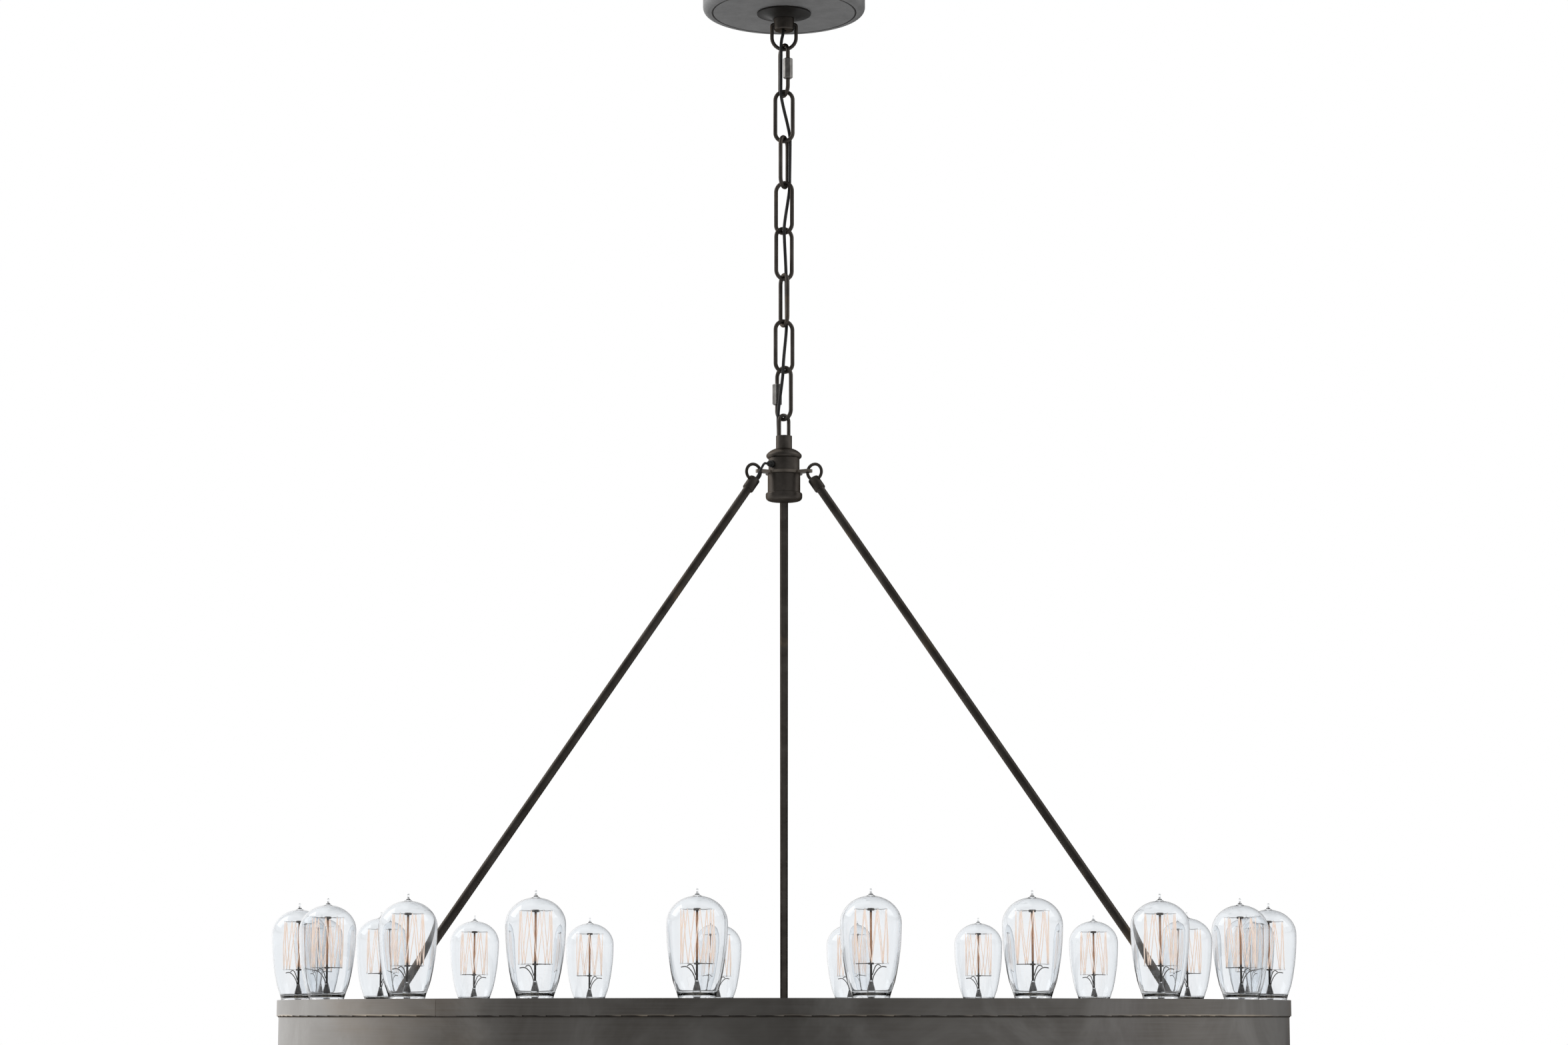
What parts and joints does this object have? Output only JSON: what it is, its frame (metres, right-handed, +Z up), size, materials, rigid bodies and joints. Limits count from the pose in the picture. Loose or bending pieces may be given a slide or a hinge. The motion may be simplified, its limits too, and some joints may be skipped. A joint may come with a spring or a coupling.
{
  "type": "ring chandelier",
  "caption": "Round metal ring of standing clear cage lamps, hung by straight rods from a turned hub on a chain with quick links, under a round ceiling canopy.",
  "frame": {"origin": "on the ceiling at the centre of the canopy, midway between the box screws", "axes": "+Z up into the ceiling, -Y to the front of the picture, +X to its right"},
  "size_m": [1.2202, 1.2202, 1.3698],
  "materials": {
    "bronze": "dark bronze, satin, lightly brushed",
    "canopy_grey": "grey metallic, fine grain",
    "steel": "plain zinc",
    "base_brass": "bright lamp base",
    "clear_glass": "clear, polished",
    "filament": "fine copper-coloured wire",
    "holder": "black moulded lampholder",
    "cable": "smooth black sheath",
    "grommet": "soft black rubber"
  },
  "bodies": {
    "canopy": {"mounting_strap": "steel", "ground_screw": "steel", "threaded_nipple": "steel", "canopy_locknuts": "steel", "canopy": "canopy_grey", "canopy_collar": "bronze", "canopy_neck": "bronze", "supply_cable": "cable"},
    "bail": {"canopy_bail": "bronze"},
    "quick_link_top": {"quick_link_top": "bronze"},
    "quick_nut_top": {"quick_link_top_nut": "bronze"},
    "link_1": {"chain_link_1": "bronze"},
    "link_2": {"chain_link_2": "bronze"},
    "link_3": {"chain_link_3": "bronze"},
    "link_4": {"chain_link_4": "bronze"},
    "link_5": {"chain_link_5": "bronze"},
    "link_6": {"chain_link_6": "bronze"},
    "quick_link_bottom": {"quick_link_bottom": "bronze"},
    "quick_nut_bottom": {"quick_link_bottom_nut": "bronze"},
    "hub": {"hub_loop": "bronze", "hub_cap": "bronze", "hub_upper_body": "bronze", "eye_plate": "bronze", "hub_lower_body": "bronze", "hub_bottom_cap": "bronze", "hub_stem": "steel", "splice_cap": "holder", "lead_bush": "grommet", "hub_lead": "cable"},
    "rod_back": {"rod_back": "bronze", "upper_eye_back": "bronze", "lower_eye_back": "bronze"},
    "rod_left": {"rod_left": "bronze", "upper_eye_left": "bronze", "lower_eye_left": "bronze", "rod_wire": "cable"},
    "rod_right": {"rod_right": "bronze", "upper_eye_right": "bronze", "lower_eye_right": "bronze"},
    "ring": {"outer_band": "bronze", "inner_band": "bronze", "top_collar": "bronze", "bottom_collar": "bronze", "rod_lugs": "bronze", "lug_rivets": "bronze", "feed_grommet": "grommet", "ring_lead": "cable", "socket_deck": "bronze", "bottom_pan": "bronze", "pan_posts": "steel", "pan_screws": "steel", "sockets": "holder", "socket_nuts": "steel", "bulb_bases": "base_brass", "bulb_glass": "clear_glass", "bulb_stems": "clear_glass", "filaments": "filament", "wiring_harness": "cable", "socket_leads": "cable"}
  },
  "joints": [
    {"name": "bail_swing", "type": "hinge", "parent": "canopy", "child": "bail", "pos_m": [0, 0, -0.043], "axis": [1, 0, 0], "range_deg": [-10, 10], "deforming": ["supply_cable"]},
    {"name": "quick_top_swing", "type": "hinge", "parent": "bail", "child": "quick_link_top", "pos_m": [0, 0, -0.0753], "axis": [1, 0, 0], "range_deg": [-6, 6], "deforming": ["supply_cable"]},
    {"name": "quick_top_nut_slide", "type": "slide", "parent": "quick_link_top", "child": "quick_nut_top", "axis": [0, 0, -1], "range_m": [0, 0.0075]},
    {"name": "link_1_swing", "type": "hinge", "parent": "quick_link_top", "child": "link_1", "pos_m": [0, 0, -0.1355], "axis": [0.4226, -0.9063, 0], "range_deg": [-6, 6], "deforming": ["supply_cable"]},
    {"name": "link_2_swing", "type": "hinge", "parent": "link_1", "child": "link_2", "pos_m": [0, 0, -0.1945], "axis": [0.9962, -0.0872, 0], "range_deg": [-6, 6], "deforming": ["supply_cable"]},
    {"name": "link_3_swing", "type": "hinge", "parent": "link_2", "child": "link_3", "pos_m": [0, 0, -0.2535], "axis": [0.3907, 0.9205, 0], "range_deg": [-6, 6], "deforming": ["supply_cable"]},
    {"name": "link_4_swing", "type": "hinge", "parent": "link_3", "child": "link_4", "pos_m": [0, 0, -0.3125], "axis": [0.9063, -0.4226, 0], "range_deg": [-6, 6], "deforming": ["supply_cable"]},
    {"name": "link_5_swing", "type": "hinge", "parent": "link_4", "child": "link_5", "pos_m": [0, 0, -0.3715], "axis": [0.8829, 0.4695, 0], "range_deg": [-6, 6], "deforming": ["supply_cable"]},
    {"name": "link_6_swing", "type": "hinge", "parent": "link_5", "child": "link_6", "pos_m": [0, 0, -0.4305], "axis": [0.3907, -0.9205, 0], "range_deg": [-6, 6], "deforming": ["supply_cable"]},
    {"name": "quick_bottom_swing", "type": "hinge", "parent": "link_6", "child": "quick_link_bottom", "pos_m": [0, 0, -0.4895], "axis": [0.9563, 0.2924, 0], "range_deg": [-6, 6], "deforming": ["supply_cable"]},
    {"name": "quick_bottom_nut_slide", "type": "slide", "parent": "quick_link_bottom", "child": "quick_nut_bottom", "axis": [0, 0, -1], "range_m": [0, 0.0075]},
    {"name": "hub_swing", "type": "hinge", "parent": "quick_link_bottom", "child": "hub", "pos_m": [0, 0, -0.5495], "axis": [0.7431, -0.6691, 0], "range_deg": [-6, 6], "deforming": ["supply_cable"]},
    {"name": "ring_twist", "type": "hinge", "parent": "hub", "child": "ring", "pos_m": [0, 0, -1.26595], "axis": [0, 0, 1], "range_deg": [-8, 8], "stiffness_Nm_per_rad": 3.5, "deforming": ["hub_lead", "ring_lead"]},
    {"name": "rod_back_turn", "type": "hinge", "parent": "hub", "child": "rod_back", "pos_m": [0, 0.0339, -0.61715], "axis": [0, 0, 1], "range_deg": [-8.6, 8.6]},
    {"name": "rod_left_turn", "type": "hinge", "parent": "hub", "child": "rod_left", "pos_m": [-0.02936, -0.01695, -0.61715], "axis": [0, 0, 1], "range_deg": [-8.6, 8.6], "deforming": ["hub_lead", "ring_lead"]},
    {"name": "rod_right_turn", "type": "hinge", "parent": "hub", "child": "rod_right", "pos_m": [0.02936, -0.01695, -0.61715], "axis": [0, 0, 1], "range_deg": [-8.6, 8.6]}
  ],
  "couplings": [
    {"joint": "rod_back_turn", "follows": "ring_twist", "ratio": 1.0663},
    {"joint": "rod_left_turn", "follows": "ring_twist", "ratio": 1.0663},
    {"joint": "rod_right_turn", "follows": "ring_twist", "ratio": 1.0663}
  ]
}
